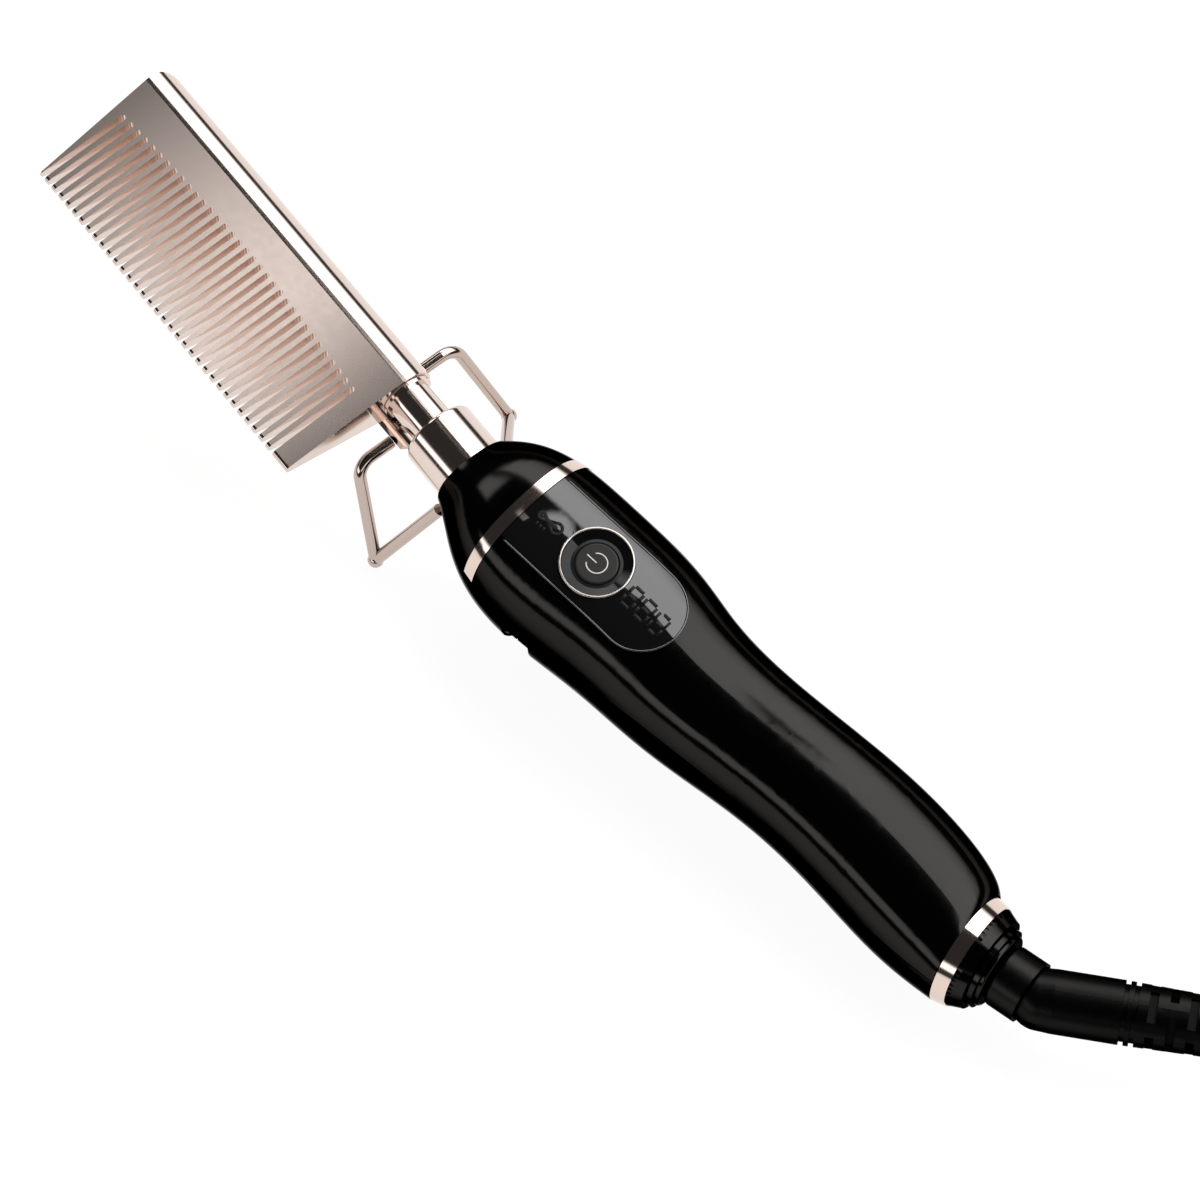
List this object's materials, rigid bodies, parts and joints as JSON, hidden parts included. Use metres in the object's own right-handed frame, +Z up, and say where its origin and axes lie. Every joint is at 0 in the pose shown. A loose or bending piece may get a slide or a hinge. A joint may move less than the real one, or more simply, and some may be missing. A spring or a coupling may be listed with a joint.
{
  "type": "hot comb",
  "caption": "Electric hot comb with a plated straight-tooth comb, a black handle with a power button, a wire stand and a swivelling cord.",
  "frame": {"origin": "middle of the footprint of the comb, handle and boot, on the surface the comb stands on", "axes": "+X along the neck towards the comb's tip, +Y towards the ends of the teeth, +Z up, with the control panel on top"},
  "size_m": [0.5131, 0.1138, 0.0509],
  "materials": {
    "plated_metal": "polished rose-gold plating on the comb and neck",
    "plated_trim": "polished rose-gold trim rings",
    "stand_steel": "polished rose-gold plated sheet and wire",
    "bare_steel": "bare steel",
    "chrome_trim": "thin bright ring",
    "gloss_black": "high-gloss black",
    "panel_black": "deep gloss black window",
    "button_black": "satin black",
    "satin_black": "satin black",
    "switch_black": "moulded black",
    "display_black": "dark display face",
    "board_green": "coated circuit board",
    "white_insulator": "off-white moulded insulator",
    "lead_cover": "silicone-covered wire",
    "brass_contact": "machined brass",
    "boot_rubber": "matte black moulded rubber",
    "cord_rubber": "matte black cord cover",
    "tie_rubber": "black strap",
    "plug_rubber": "matte black moulded plug",
    "pin_metal": "nickel-plated pins"
  },
  "bodies": {
    "handle": {"comb_plate": "plated_metal", "heater_element": "bare_steel", "temperature_sensor": "bare_steel", "neck_tube": "plated_metal", "insulating_bush": "white_insulator", "neck_sleeve": "plated_metal", "heater_leads": "lead_cover", "terminal_block": "white_insulator", "stand_bracket": "stand_steel", "bracket_screws": "stand_steel", "stand_wire_left": "stand_steel", "stand_wire_right": "stand_steel", "front_cap": "gloss_black", "front_ring": "plated_trim", "lower_shell": "gloss_black", "top_cover": "gloss_black", "control_window": "panel_black", "button_trim_ring": "chrome_trim", "button_bezel": "panel_black", "circuit_board": "board_green", "tact_switch": "switch_black", "display_module": "display_black", "board_screws": "bare_steel", "tail_ring": "plated_trim", "ribbed_ring": "satin_black", "tail_cap": "gloss_black", "contact_carrier": "white_insulator", "contact_rod": "brass_contact"},
    "button": {"power_button": "button_black"},
    "collar": {"swivel_collar": "satin_black"},
    "boot": {"strain_relief_boot": "boot_rubber", "hinge_pin": "bare_steel", "cord_run": "cord_rubber", "cord_coil": "cord_rubber", "cord_tie": "tie_rubber", "cord_plug_run": "cord_rubber", "plug_body": "plug_rubber", "plug_pins": "pin_metal"}
  },
  "joints": [
    {"name": "button_press", "type": "slide", "parent": "handle", "child": "button", "axis": [0.0976, 0, -0.9952], "range_m": [0, 0.0008], "stiffness_N_per_m": 900},
    {"name": "cord_swivel", "type": "hinge", "parent": "handle", "child": "collar", "pos_m": [-0.11584, -0.00547, 0.01573], "axis": [0.9699, 0.2418, -0.0273], "continuous": true},
    {"name": "boot_tilt", "type": "hinge", "parent": "collar", "child": "boot", "pos_m": [-0.12554, -0.00789, 0.01601], "axis": [0.0208, 0.0297, 0.9993], "range_deg": [-55, 5]}
  ]
}
